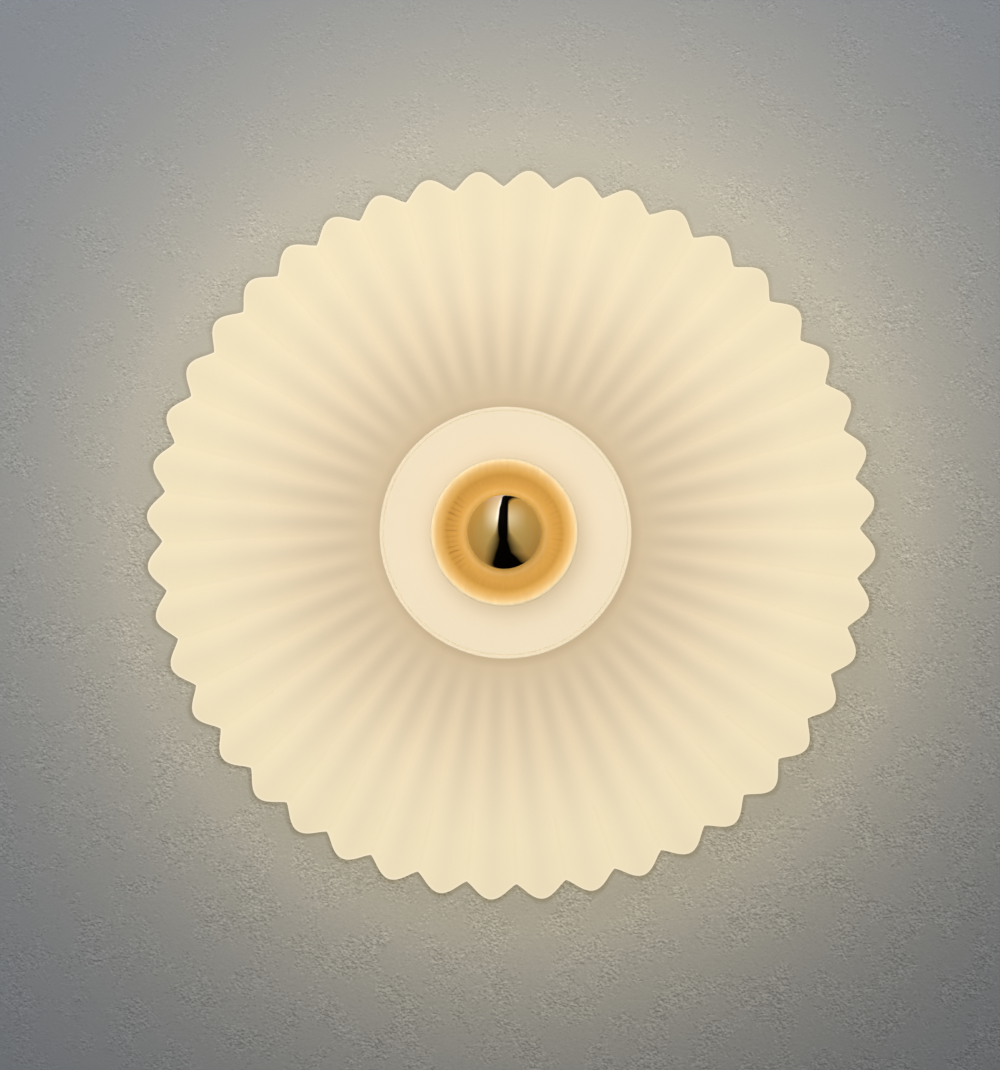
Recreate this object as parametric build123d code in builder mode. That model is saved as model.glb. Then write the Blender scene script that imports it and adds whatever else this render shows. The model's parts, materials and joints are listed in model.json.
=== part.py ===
from build123d import *
import os
from math import cos, radians, sin, tan

# Pleated glass wall lamp. Millimetres, +Z up, wall face at Y = 0, the lamp looks along -Y.
# The origin is the centre of the wall face, and a distance is measured from the wall forwards.

# Glass shade
shade_radius = 150.0
shade_height = 55.0
rim_distance = 25.0
rim_groove_depth = 6.5
pleat_count = 44
pleat_phase = 5.13
glass_thickness = 4.0
crown_radius = 57.0
crown_hole_radius = 41.0
skirt_angle = 37.6
# How much straighter than a parabola a pleat's flanks are
pleat_straightness = 0.6
# Flats across one pleat, and bands down the shoulder
pleat_flats = 6
shoulder_bands = 3
# Cosine above which two directions count as the same
same_direction = 0.9999

# Wall bracket
bracket_width = 24.0
bracket_thickness = 2.0
bracket_length = 156.0
bracket_foot = 108.0
bracket_leg = 8.0
fixing_spacing = 60.0
fixing_slot_length = 10.0
fixing_slot_width = 4.8

# Backplate
plate_radius = 85.0
plate_depth = 18.0
plate_sheet = 1.0
plate_edge_chamfer = 3.0
plate_flange = 4.0
plate_screw_spacing = 142.0

# Screws
large_screw_radius = 2.0
large_head_radius = 4.0
large_head_height = 2.4
large_screw_length = 7.0
small_screw_radius = 1.5
small_head_radius = 2.75
small_head_height = 1.8
small_screw_length = 6.0
case_screw_length = 2.8
hole_clearance = 0.2

# Light source
board_radius = 64.0
board_thickness = 1.6
board_hole_radius = 10.5
board_screw_count = 3
board_screw_circle_radius = 20.0
chip_count = 24
chip_circle_radius = 52.0
chip_width = 5.0
chip_height = 1.6
connector_length = 8.0
connector_width = 5.0
connector_height = 5.0
connector_gap = 5.0

# Driver, terminal block and their tabs in the space behind the backplate's floor
driver_length = 70.0
driver_width = 26.0
driver_height = 13.0
driver_offset = 46.0
driver_corner = 2.0
tab_length = 8.0
tab_width = 12.0
tab_thickness = 2.0
terminal_length = 30.0
terminal_width = 17.0
terminal_height = 12.0
terminal_offset = -40.0
terminal_pitch = 9.0
terminal_count = 3
terminal_screw_radius = 2.0
terminal_screw_depth = 3.0
terminal_screw_recess = 0.6
terminal_screw_rows = 8.0
wire_entry_width = 3.2

# Grommet, earth point and inner leads
grommet_x = -26.0
grommet_z = 22.0
grommet_neck_radius = 4.5
grommet_flange = 1.5
grommet_flange_height = 1.5
grommet_bore_radius = 2.5
grommet_clearance = 1.0
earth_x = -50.0
earth_z = -35.0
earth_tag_radius = 5.0
earth_tag_thickness = 0.8
lead_width = 1.6
lead_sides = 6
lead_spacing = 2.2
lead_bend = 3.0
supply_lead_x = 15.0
supply_lead_spacing = 5.0
lead_distance = 9.0

# Centre rod and what is threaded on it
rod_radius = 5.0
rod_bore_radius = 3.5
rod_tail = 3.0
rod_clearance = 0.3
nut_width = 14.0
nut_height = 4.0
lock_washer_radius = 9.0
lock_washer_thickness = 1.0
lock_washer_teeth = 12
lock_washer_notch = 1.2
spacer_radius = 8.0

# Seat that carries the glass, and the gaskets on both sides of the crown
seat_radius = 52.0
seat_ring_inner = 43.0
seat_hub_radius = 14.0
seat_thickness = 1.5
seat_arm_width = 10.0
seat_arm_count = 3
gasket_inner = 43.5
rear_gasket_outer = 51.0
rear_gasket_thickness = 1.5
front_gasket_outer = 47.5
front_gasket_thickness = 1.0

# Front disc
disc_radius = 50.0
disc_thickness = 5.0
disc_edge_chamfer = 0.5
disc_line_radius = 48.5
disc_line_width = 0.5
disc_line_depth = 0.6
felt_radius = 22.0
felt_thickness = 1.0

# Turned wooden cup
cup_radius = 28.5
cup_base_radius = 24.5
cup_height = 14.0
cup_lip_radius = 2.4
cup_recess = 5.5
cup_floor_radius = 19.0
cup_seat_thickness = 3.0

# Ball finial
ball_radius = 14.5
ball_flat = 9.0
ball_clearance = 0.4
thread_length = 12.0
bore_relief = 2.0
finial_washer_radius = 10.5
finial_washer_thickness = 1.0

# Distances from the wall that follow from the sizes above
floor_back = plate_depth - plate_sheet
board_front = plate_depth + board_thickness
crown_distance = rim_distance + shade_height
crown_back = crown_distance - glass_thickness
seat_front = crown_back - rear_gasket_thickness
seat_back = seat_front - seat_thickness
washer_front = plate_depth + lock_washer_thickness
spacer_back = washer_front + nut_height
disc_back = crown_distance + front_gasket_thickness
disc_front = disc_back + disc_thickness
cup_back = disc_front + felt_thickness
cup_front = cup_back + cup_height
cup_floor = cup_front - cup_recess
cup_seat = cup_back + cup_seat_thickness
finial_back = cup_seat + finial_washer_thickness
ball_centre = finial_back + ball_flat
rod_back = floor_back - nut_height - rod_tail
rod_front = finial_back + thread_length
stack_hole_radius = rod_radius + rod_clearance

# Places of the screws, each an X and a Z on the backplate
plate_screw_places = [(-plate_screw_spacing / 2, 0), (plate_screw_spacing / 2, 0)]
driver_tab_x = (driver_length + tab_length) / 2
terminal_tab_x = (terminal_length + tab_length) / 2
case_screw_places = [(side * driver_tab_x, driver_offset) for side in (-1, 1)]
case_screw_places += [(side * terminal_tab_x, terminal_offset) for side in (-1, 1)]
connector_z = grommet_z - grommet_neck_radius - connector_gap - connector_width / 2

os.makedirs("parts", exist_ok=True)


def finish(piece, name):
    """Labels a finished piece and writes it out under that name."""
    piece.part.label = name
    export_step(piece.part, f"parts/{name}.step")


# Wall bracket: a strip on the wall whose two ends step forward to the backplate's floor
with BuildPart() as wall_bracket:
    foot_end = bracket_foot / 2
    ear_start = foot_end + bracket_leg
    with BuildSketch(Plane.XY.offset(-bracket_width / 2)):
        with BuildLine():
            Polyline(
                (-bracket_length / 2, -floor_back),
                (-ear_start, -floor_back),
                (-foot_end, -bracket_thickness),
                (foot_end, -bracket_thickness),
                (ear_start, -floor_back),
                (bracket_length / 2, -floor_back),
            )
            offset(amount=bracket_thickness, side=Side.LEFT)
        make_face()
    extrude(amount=bracket_width)
    with BuildSketch(Plane.XZ):
        with GridLocations(fixing_spacing, 0, 2, 1):
            SlotOverall(fixing_slot_length, fixing_slot_width)
        with Locations(*plate_screw_places):
            Circle(large_screw_radius + hole_clearance)
    extrude(amount=plate_depth, mode=Mode.SUBTRACT)
finish(wall_bracket, "wall_bracket")

# Backplate: a round pan, open to the wall, whose floor carries the light source
with BuildPart() as backplate:
    with BuildSketch(Plane.XZ):
        Circle(plate_radius)
    extrude(amount=plate_depth)
    front_edge = backplate.edges().sort_by(Axis.Y)[0]
    chamfer(front_edge, plate_edge_chamfer)
    offset(amount=-plate_sheet, openings=backplate.faces().sort_by(Axis.Y)[-1])
    with BuildSketch(Plane.XZ):
        Circle(plate_radius + plate_flange)
        Circle(plate_radius - plate_sheet, mode=Mode.SUBTRACT)
    extrude(amount=plate_sheet)
    with BuildSketch(Plane.XZ):
        Circle(stack_hole_radius)
        with Locations(*plate_screw_places):
            Circle(large_screw_radius + hole_clearance)
        with Locations(*case_screw_places):
            Circle(small_screw_radius + hole_clearance)
        with PolarLocations(board_screw_circle_radius, board_screw_count, start_angle=90):
            Circle(small_screw_radius + hole_clearance)
        with Locations((grommet_x, grommet_z)):
            Circle(grommet_neck_radius + hole_clearance)
        with Locations((earth_x, earth_z)):
            Circle(large_screw_radius + hole_clearance)
    extrude(amount=plate_depth, mode=Mode.SUBTRACT)
finish(backplate, "backplate")

# Two screws that hold the backplate to the bracket's ears
with BuildPart() as plate_screws:
    with BuildSketch(Plane.XZ.offset(plate_depth)):
        with Locations(*plate_screw_places):
            Circle(large_head_radius)
    extrude(amount=large_head_height)
    with BuildSketch(Plane.XZ.offset(plate_depth)):
        with Locations(*plate_screw_places):
            Circle(large_screw_radius)
    extrude(amount=-large_screw_length)
finish(plate_screws, "plate_screws")

# Rubber grommet that grips the floor's wire hole with a flange on both sides
with BuildPart() as wire_grommet:
    grommet_back = floor_back - grommet_flange_height
    grommet_front = plate_depth + grommet_flange_height
    with BuildSketch(Plane.XZ.offset(grommet_back)):
        with Locations((grommet_x, grommet_z)):
            Circle(grommet_neck_radius + grommet_flange)
    extrude(amount=grommet_front - grommet_back)
    with BuildSketch(Plane.XZ.offset(floor_back)):
        with Locations((grommet_x, grommet_z)):
            Circle(grommet_neck_radius + grommet_flange)
            Circle(grommet_neck_radius, mode=Mode.SUBTRACT)
    extrude(amount=plate_sheet, mode=Mode.SUBTRACT)
    with BuildSketch(Plane.XZ.offset(grommet_back)):
        with Locations((grommet_x, grommet_z)):
            Circle(grommet_bore_radius)
    extrude(amount=grommet_front - grommet_back, mode=Mode.SUBTRACT)
finish(wire_grommet, "wire_grommet")

# Driver: a closed case with a tab at each end
with BuildPart() as led_driver:
    with BuildSketch(Plane.XZ.offset(floor_back)):
        with Locations((0, driver_offset)):
            RectangleRounded(driver_length, driver_width, driver_corner)
    extrude(amount=-driver_height)
    with BuildSketch(Plane.XZ.offset(floor_back)):
        with Locations((0, driver_offset)):
            Rectangle(driver_length + 2 * tab_length, tab_width)
        with Locations(*case_screw_places[:2]):
            Circle(small_screw_radius + hole_clearance, mode=Mode.SUBTRACT)
    extrude(amount=-tab_thickness)
finish(led_driver, "led_driver")

# Terminal block for the supply wires, its screws facing the wall side
with BuildPart() as terminal_block:
    with BuildSketch(Plane.XZ.offset(floor_back)):
        with Locations((0, terminal_offset)):
            Rectangle(terminal_length, terminal_width)
    extrude(amount=-terminal_height)
    with BuildSketch(Plane.XZ.offset(floor_back)):
        with Locations((0, terminal_offset)):
            Rectangle(terminal_length + 2 * tab_length, tab_width)
        with Locations(*case_screw_places[2:]):
            Circle(small_screw_radius + hole_clearance, mode=Mode.SUBTRACT)
    extrude(amount=-tab_thickness)
    terminal_back = floor_back - terminal_height
    with BuildSketch(Plane.XZ.offset(terminal_back)):
        with Locations((0, terminal_offset)):
            with GridLocations(terminal_pitch, terminal_screw_rows, terminal_count, 2):
                Circle(terminal_screw_radius + hole_clearance)
    extrude(amount=terminal_screw_depth, mode=Mode.SUBTRACT)
    with BuildSketch(Plane.XY.offset(terminal_offset - terminal_width / 2)):
        with Locations((0, -floor_back + terminal_height / 2)):
            with GridLocations(terminal_pitch, 0, terminal_count, 1):
                Rectangle(wire_entry_width, wire_entry_width)
    extrude(amount=terminal_width, mode=Mode.SUBTRACT)
finish(terminal_block, "terminal_block")

# Clamping screws of the terminal block, two for each wire
with BuildPart() as terminal_screws:
    with BuildSketch(Plane.XZ.offset(terminal_back + terminal_screw_recess)):
        with Locations((0, terminal_offset)):
            with GridLocations(terminal_pitch, terminal_screw_rows, terminal_count, 2):
                Circle(terminal_screw_radius)
    extrude(amount=terminal_screw_depth - terminal_screw_recess)
finish(terminal_screws, "terminal_screws")

# Screws through the tabs of the driver and the terminal block, ending inside the floor
with BuildPart() as case_screws:
    tab_back = floor_back - tab_thickness
    with BuildSketch(Plane.XZ.offset(tab_back)):
        with Locations(*case_screw_places):
            Circle(small_head_radius)
    extrude(amount=-small_head_height)
    with BuildSketch(Plane.XZ.offset(tab_back)):
        with Locations(*case_screw_places):
            Circle(small_screw_radius)
    extrude(amount=case_screw_length)
finish(case_screws, "case_screws")

# Earth point: a ring tag under a screw in the backplate's floor
with BuildPart() as earth_screw:
    with BuildSketch(Plane.XZ.offset(floor_back - earth_tag_thickness)):
        with Locations((earth_x, earth_z)):
            Circle(large_head_radius)
    extrude(amount=-large_head_height)
    with BuildSketch(Plane.XZ.offset(floor_back - earth_tag_thickness)):
        with Locations((earth_x, earth_z)):
            Circle(large_screw_radius)
    extrude(amount=earth_tag_thickness + plate_sheet - hole_clearance)
finish(earth_screw, "earth_screw")

with BuildPart() as earth_tag:
    with BuildSketch(Plane.XZ.offset(floor_back)):
        with Locations((earth_x, earth_z)):
            Circle(earth_tag_radius)
            Circle(large_screw_radius + hole_clearance, mode=Mode.SUBTRACT)
    extrude(amount=-earth_tag_thickness)
finish(earth_tag, "earth_tag")

# Light source: a round board on the front of the backplate's floor
with BuildPart() as led_board:
    with BuildSketch(Plane.XZ.offset(plate_depth)):
        Circle(board_radius)
        Circle(board_hole_radius, mode=Mode.SUBTRACT)
        with PolarLocations(board_screw_circle_radius, board_screw_count, start_angle=90):
            Circle(small_screw_radius + hole_clearance, mode=Mode.SUBTRACT)
        with Locations((grommet_x, grommet_z)):
            Circle(
                grommet_neck_radius + grommet_flange + grommet_clearance,
                mode=Mode.SUBTRACT,
            )
    extrude(amount=board_thickness)
finish(led_board, "led_board")

# A ring of square diodes on the board
with BuildPart() as led_chips:
    with BuildSketch(Plane.XZ.offset(board_front)):
        with PolarLocations(chip_circle_radius, chip_count):
            Rectangle(chip_width, chip_width)
    extrude(amount=chip_height)
finish(led_chips, "led_chips")

# Plug-in connector of the board, under the grommet
with BuildPart() as board_connector:
    with BuildSketch(Plane.XZ.offset(board_front)):
        with Locations((grommet_x, connector_z)):
            Rectangle(connector_length, connector_width)
    extrude(amount=connector_height)
finish(board_connector, "board_connector")

# Screws that hold the board to the floor
with BuildPart() as board_screws:
    with BuildSketch(Plane.XZ.offset(board_front)):
        with PolarLocations(board_screw_circle_radius, board_screw_count, start_angle=90):
            Circle(small_head_radius)
    extrude(amount=small_head_height)
    with BuildSketch(Plane.XZ.offset(board_front)):
        with PolarLocations(board_screw_circle_radius, board_screw_count, start_angle=90):
            Circle(small_screw_radius)
    extrude(amount=-small_screw_length)
finish(board_screws, "board_screws")

# Inner leads: a pair from the terminal block to the driver, and a pair through the
# grommet to the board's connector
lead_front = board_front + connector_height / 2
driver_edge = driver_offset - driver_width / 2
terminal_edge = terminal_offset + terminal_width / 2
with BuildPart() as inner_leads:
    for side in (-0.5, 0.5):
        lead_x = supply_lead_x + side * supply_lead_spacing
        with BuildLine() as supply_route:
            Line((lead_x, -lead_distance, terminal_edge), (lead_x, -lead_distance, driver_edge))
        with BuildSketch(Plane(supply_route.line @ 0, z_dir=supply_route.line % 0)):
            RegularPolygon(lead_width / 2, lead_sides)
        sweep(path=supply_route.line)
        lead_x = grommet_x + side * lead_spacing
        with BuildLine() as board_route:
            FilletPolyline(
                (lead_x, -lead_distance, driver_edge),
                (lead_x, -lead_distance, grommet_z),
                (lead_x, -lead_front, grommet_z),
                (lead_x, -lead_front, connector_z + connector_width / 2),
                radius=lead_bend,
            )
        with BuildSketch(Plane(board_route.line @ 0, z_dir=board_route.line % 0)):
            RegularPolygon(lead_width / 2, lead_sides)
        sweep(path=board_route.line)
finish(inner_leads, "inner_leads")

# Centre rod: a threaded tube from behind the floor to inside the ball
with BuildPart() as centre_rod:
    with BuildSketch(Plane.XZ.offset(rod_back)):
        Circle(rod_radius)
        Circle(rod_bore_radius, mode=Mode.SUBTRACT)
    extrude(amount=rod_front - rod_back)
finish(centre_rod, "centre_rod")

# Three hexagon nuts on the rod: behind the floor, in front of it, and in front of the seat
with BuildPart() as rod_nuts:
    for nut_back in (floor_back - nut_height, washer_front, seat_front):
        with BuildSketch(Plane.XZ.offset(nut_back)):
            RegularPolygon(nut_width / 2, 6, major_radius=False)
            Circle(rod_radius + hole_clearance, mode=Mode.SUBTRACT)
        extrude(amount=nut_height)
finish(rod_nuts, "rod_nuts")

# Toothed lock washer between the floor and the front nut
with BuildPart() as lock_washer:
    with BuildSketch(Plane.XZ.offset(plate_depth)):
        Circle(lock_washer_radius)
        Circle(stack_hole_radius, mode=Mode.SUBTRACT)
        with PolarLocations(lock_washer_radius, lock_washer_teeth):
            Rectangle(2 * lock_washer_notch, lock_washer_notch, mode=Mode.SUBTRACT)
    extrude(amount=lock_washer_thickness)
finish(lock_washer, "lock_washer")

# Spacer tube that sets how far the shade stands from the backplate
with BuildPart() as spacer_tube:
    with BuildSketch(Plane.XZ.offset(spacer_back)):
        Circle(spacer_radius)
        Circle(stack_hole_radius, mode=Mode.SUBTRACT)
    extrude(amount=seat_back - spacer_back)
finish(spacer_tube, "spacer_tube")

# Seat: a three-armed plate whose ring carries the glass and lets the light through
with BuildPart() as shade_seat:
    arm_reach = (seat_ring_inner + seat_radius) / 2
    with BuildSketch(Plane.XZ.offset(seat_back)):
        Circle(seat_radius)
        Circle(seat_ring_inner, mode=Mode.SUBTRACT)
        Circle(seat_hub_radius)
        with PolarLocations(arm_reach / 2, seat_arm_count, start_angle=90):
            Rectangle(arm_reach, seat_arm_width)
        Circle(stack_hole_radius, mode=Mode.SUBTRACT)
    extrude(amount=seat_thickness)
finish(shade_seat, "shade_seat")

with BuildPart() as rear_gasket:
    with BuildSketch(Plane.XZ.offset(seat_front)):
        Circle(rear_gasket_outer)
        Circle(gasket_inner, mode=Mode.SUBTRACT)
    extrude(amount=rear_gasket_thickness)
finish(rear_gasket, "rear_gasket")

# Glass shade: a flat crown, a rounded shoulder and a straight pleated skirt. One pleat is
# lofted between the planes of its two grooves, and its skins are stitched all the way round.
half_pleat = radians(180 / pleat_count)
skirt_slope = radians(skirt_angle)
skirt_rim_radius = shade_radius - rim_groove_depth / 2
corner_radius = skirt_rim_radius - shade_height / tan(skirt_slope)
shoulder_radius = (corner_radius - crown_radius) / tan(skirt_slope / 2)
skirt_pleat_depth = rim_groove_depth * sin(skirt_slope)


def pleat_section(radius, distance, slope, depth, thickness):
    """The face across one pleat, square to a skirt of this slope at this radius."""
    outwards = Vector(sin(slope), -cos(slope), 0)
    outline = []
    for skin, way in ((0, 1), (-thickness, -1)):
        for step in range(pleat_flats + 1):
            share = way * (2 * step / pleat_flats - 1)
            rise = (1 - share**2) * (1 - pleat_straightness * share**2)
            above = skin + depth * rise - depth / 2
            reach = radius + outwards.X * (skin - depth / 2)
            point = Vector(radius, -distance, 0) + outwards * above
            outline.append(point + Vector(0, 0, reach * tan(half_pleat) * share))
    return Face(Wire.make_polygon(outline))


# Down the shoulder the pleats rise from nothing to their full depth
pleat_sections = []
for band in range(shoulder_bands + 1):
    share = band / shoulder_bands
    slope = skirt_slope * share
    pleat_sections.append(
        pleat_section(
            crown_radius + shoulder_radius * sin(slope),
            crown_distance - shoulder_radius * (1 - cos(slope)),
            slope,
            skirt_pleat_depth * share**2 * (3 - 2 * share),
            glass_thickness,
        )
    )
# The rim is ground flat, parallel to the wall, so it is wider than the glass is thick
rim_width = glass_thickness / sin(skirt_slope)
pleat_sections.append(
    pleat_section(
        skirt_rim_radius, rim_distance, radians(90), rim_groove_depth, rim_width
    )
)

with BuildPart() as pleat:
    loft(pleat_sections, ruled=True)

with BuildPart() as crown:
    with BuildSketch(Plane.XZ.offset(crown_back)):
        RegularPolygon(
            crown_radius, pleat_count, major_radius=False, rotation=180 / pleat_count
        )
        Circle(crown_hole_radius, mode=Mode.SUBTRACT)
    extrude(amount=glass_thickness)


def is_skin(face):
    """False on the ends that a pleat shares with the crown and with the next pleats."""
    normal = face.normal_at()
    towards_crown = abs(normal.X)
    towards_next = abs(abs(normal.Z) * cos(half_pleat) - normal.X * sin(half_pleat))
    return max(towards_crown, towards_next) < same_direction


shell_faces = [
    face.rotate(Axis.Y, turn * 360 / pleat_count)
    for turn in range(pleat_count)
    for face in pleat.faces()
    if is_skin(face)
]
shell_faces += crown.faces().filter_by(GeomType.CYLINDER)
shell_faces += crown.faces().filter_by(Axis.Y)

with BuildPart() as glass_shade:
    add(Solid(Shell(shell_faces)).rotate(Axis.Y, -pleat_phase))
finish(glass_shade, "glass_shade")

with BuildPart() as front_gasket:
    with BuildSketch(Plane.XZ.offset(crown_distance)):
        Circle(front_gasket_outer)
        Circle(gasket_inner, mode=Mode.SUBTRACT)
    extrude(amount=front_gasket_thickness)
finish(front_gasket, "front_gasket")

# Front disc, with a fine line turned just inside its edge
with BuildPart() as front_disc:
    with BuildSketch(Plane.XZ.offset(disc_back)):
        Circle(disc_radius)
        Circle(stack_hole_radius, mode=Mode.SUBTRACT)
    extrude(amount=disc_thickness)
    outer_edge = front_disc.faces().sort_by(Axis.Y)[0].edges().sort_by(SortBy.RADIUS)[-1]
    chamfer(outer_edge, disc_edge_chamfer)
    with BuildSketch(Plane.XZ.offset(disc_front)):
        Circle(disc_line_radius + disc_line_width / 2)
        Circle(disc_line_radius - disc_line_width / 2, mode=Mode.SUBTRACT)
    extrude(amount=-disc_line_depth, mode=Mode.SUBTRACT)
finish(front_disc, "front_disc")

with BuildPart() as felt_washer:
    with BuildSketch(Plane.XZ.offset(disc_front)):
        Circle(felt_radius)
        Circle(stack_hole_radius, mode=Mode.SUBTRACT)
    extrude(amount=felt_thickness)
finish(felt_washer, "felt_washer")

# Wooden cup: turned, with a round lip, a cove down to a flat floor and a socket for the ball
socket_radius = (ball_radius**2 - (ball_centre - cup_floor) ** 2) ** 0.5 + ball_clearance
with BuildPart() as wood_cup:
    lip_centre_radius = cup_radius - cup_lip_radius
    lip_centre = cup_front - cup_lip_radius
    with BuildSketch(Plane.XY):
        with BuildLine():
            Polyline(
                (cup_floor_radius, -cup_floor),
                (socket_radius, -cup_floor),
                (socket_radius, -cup_seat),
                (stack_hole_radius, -cup_seat),
                (stack_hole_radius, -cup_back),
                (cup_base_radius, -cup_back),
                (cup_radius, -lip_centre),
            )
            lip = ThreePointArc(
                (cup_radius, -lip_centre),
                (lip_centre_radius, -cup_front),
                (lip_centre_radius - cup_lip_radius, -lip_centre),
            )
            TangentArc((cup_floor_radius, -cup_floor), lip @ 1, tangent=(1, 0))
        make_face()
    revolve(axis=Axis.Y)
finish(wood_cup, "wood_cup")

# Washer under the ball, which slides with it but doesn't turn
with BuildPart() as finial_washer:
    with BuildSketch(Plane.XZ.offset(cup_seat)):
        Circle(finial_washer_radius)
        Circle(stack_hole_radius, mode=Mode.SUBTRACT)
    extrude(amount=finial_washer_thickness)
finish(finial_washer, "finial_washer")

# Ball finial: a ball with a flat back and a blind hole that takes the rod's thread
with BuildPart() as finial:
    flat_radius = (ball_radius**2 - ball_flat**2) ** 0.5
    with BuildSketch(Plane.XY):
        with BuildLine():
            Polyline(
                (0, -ball_centre - ball_radius),
                (0, -finial_back),
                (flat_radius, -finial_back),
            )
            ThreePointArc(
                (flat_radius, -finial_back),
                (ball_radius, -ball_centre),
                (0, -ball_centre - ball_radius),
            )
        make_face()
    revolve(axis=Axis.Y)
    with BuildSketch(Plane.XZ.offset(finial_back)):
        Circle(stack_hole_radius)
    extrude(amount=thread_length + bore_relief, mode=Mode.SUBTRACT)
finish(finial, "finial")
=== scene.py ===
import json
from math import atan, cos, pi, radians, sin, tan

import bmesh
import bpy
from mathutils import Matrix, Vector


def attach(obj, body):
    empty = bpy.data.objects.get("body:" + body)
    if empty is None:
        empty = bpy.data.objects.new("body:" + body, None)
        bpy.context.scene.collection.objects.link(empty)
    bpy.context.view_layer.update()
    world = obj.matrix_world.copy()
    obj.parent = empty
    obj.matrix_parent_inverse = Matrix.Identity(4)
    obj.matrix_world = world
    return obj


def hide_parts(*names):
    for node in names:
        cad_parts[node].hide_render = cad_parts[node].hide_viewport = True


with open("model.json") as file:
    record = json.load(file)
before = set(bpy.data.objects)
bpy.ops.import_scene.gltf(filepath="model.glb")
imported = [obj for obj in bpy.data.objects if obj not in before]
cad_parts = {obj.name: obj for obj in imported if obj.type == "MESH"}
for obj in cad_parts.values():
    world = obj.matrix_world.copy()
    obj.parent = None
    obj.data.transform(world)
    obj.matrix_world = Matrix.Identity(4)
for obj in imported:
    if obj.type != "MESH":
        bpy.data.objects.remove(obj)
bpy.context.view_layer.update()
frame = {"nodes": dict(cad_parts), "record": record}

# Pleated glass wall lamp. Metres, +Z up, wall at Y = 0, the lamp looks along -Y.
# A distance is measured from the wall forwards, so a point at distance d has Y = -d.
mm = 0.001

# Photograph and camera
photo_width = 1000
photo_height = 1070
# Rim centre in the photograph, in pixels from its upper left corner
rim_centre_x = 510.15
rim_centre_y = 534.8
metres_per_pixel = 0.411 * mm
camera_to_rim = 1.7
camera_right = 0.053
camera_up = -0.0245
sensor_size = 36.0

# Sizes of the glass shade
pleat_count = 44
crest_angle = radians(5.13)
pleat_straightness = 0.6
rim_radius = 150 * mm
rim_distance = 25 * mm
rim_depth = 6.5 * mm
crown_distance = 80 * mm
crown_radius = 57 * mm
crown_ring_radius = crown_radius - 6 * mm
crown_hole_radius = 41 * mm
glass_thickness = 4 * mm
skirt_slope = radians(37.6)
edge_rounding = 0.9 * mm
edge_trim = 0.03 * mm
samples_per_pleat = 28
sample_easing = 0.035
shoulder_rows = 14
skirt_rows = 22
edge_rows = 6
shade_sharp_angle = radians(50)

# Sizes of the disc, cup and ball
bore_radius = 5.3 * mm
bore_chamfer = 0.4 * mm
disc_radius = 50 * mm
disc_ring_radius = disc_radius - 12 * mm
disc_back = 81 * mm
disc_front = 86 * mm
disc_rounding = 0.5 * mm
line_radius = 48.5 * mm
line_width = 0.5 * mm
line_depth = 0.25 * mm
cup_back = 87 * mm
cup_front = 101 * mm
cup_radius = 29.2 * mm
cup_base_radius = 24.9 * mm
cup_base_inset = 1 * mm
cup_base_rise = 0.8 * mm
cup_lip_radius = 1.3 * mm
cup_lip_start_degrees = -19
cup_floor_radius = 16.5 * mm
cup_floor = 95.5 * mm
cup_seat = 90 * mm
socket_radius = 14.18 * mm
socket_edge_width = 0.6 * mm
socket_edge_depth = 0.5 * mm
ball_radius = 14.49 * mm
ball_distance = 100 * mm
ball_back = 91 * mm
ball_end_degrees = -38.2
ball_bore_end = 105 * mm
pole_radius = 0.001 * mm
turn_steps = 192
disc_back_steps = 5
disc_front_steps = 8
lip_steps = 14
cove_steps = 20
ball_steps = 96
turned_sharp_angle = radians(40)


# Mesh helpers

def around(radius, distance, angle):
    """A point at this radius, distance from the wall and angle round the lamp's axis."""
    return (radius * cos(angle), -distance, radius * sin(angle))


def along(start, end, share):
    """The point at this share of the way between two points."""
    return tuple(a + (b - a) * share for a, b in zip(start, end))


def ease(share):
    """A share of the way from 0 to 1, made gentle at both ends."""
    return share**2 * (3 - 2 * share)


def arc(centre, radius, start, end, steps):
    """Points of an arc in the half plane of radius and distance, angles in degrees."""
    points = []
    for step in range(steps + 1):
        angle = radians(start + (end - start) * step / steps)
        points.append((centre[0] + radius * cos(angle), centre[1] + radius * sin(angle)))
    return points


def rounded(start, corner, end, steps):
    """The inner points of a circular arc that touches both sides of the corner."""
    first = [a - b for a, b in zip(start, corner)]
    second = [a - b for a, b in zip(end, corner)]
    dot = sum(a * b for a, b in zip(first, second))
    size = (sum(a * a for a in first) * sum(a * a for a in second)) ** 0.5
    weight = ((1 - dot / size) / 2) ** 0.5
    points = []
    for step in range(1, steps):
        t = step / steps
        parts = ((1 - t) ** 2, 2 * t * (1 - t) * weight, t**2)
        total = sum(parts)
        points.append(tuple(
            (parts[0] * a + parts[1] * b + parts[2] * c) / total
            for a, b, c in zip(start, corner, end)
        ))
    return points


def make_piece(name, rings, body, node, sharp_angle):
    """Joins a closed loop of rings into a skin that rides on a body and stands for a node."""
    mesh = bpy.data.meshes.new(name)
    count = len(rings[0])
    points = [point for ring in rings for point in ring]
    faces = []
    for row in range(len(rings)):
        here = row * count
        after = (row + 1) % len(rings) * count
        for step in range(count):
            beside = (step + 1) % count
            faces.append((here + step, here + beside, after + beside, after + step))
    mesh.from_pydata(points, [], faces)
    shape = bmesh.new()
    shape.from_mesh(mesh)
    bmesh.ops.remove_doubles(shape, verts=shape.verts, dist=1e-6)
    bmesh.ops.recalc_face_normals(shape, faces=shape.faces)
    shape.to_mesh(mesh)
    shape.free()
    mesh.shade_smooth()
    piece = bpy.data.objects.new(name, mesh)
    bpy.context.scene.collection.objects.link(piece)
    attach(piece, body)
    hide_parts(node)
    piece.data.set_sharp_from_angle(angle=sharp_angle)
    return piece


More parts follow.
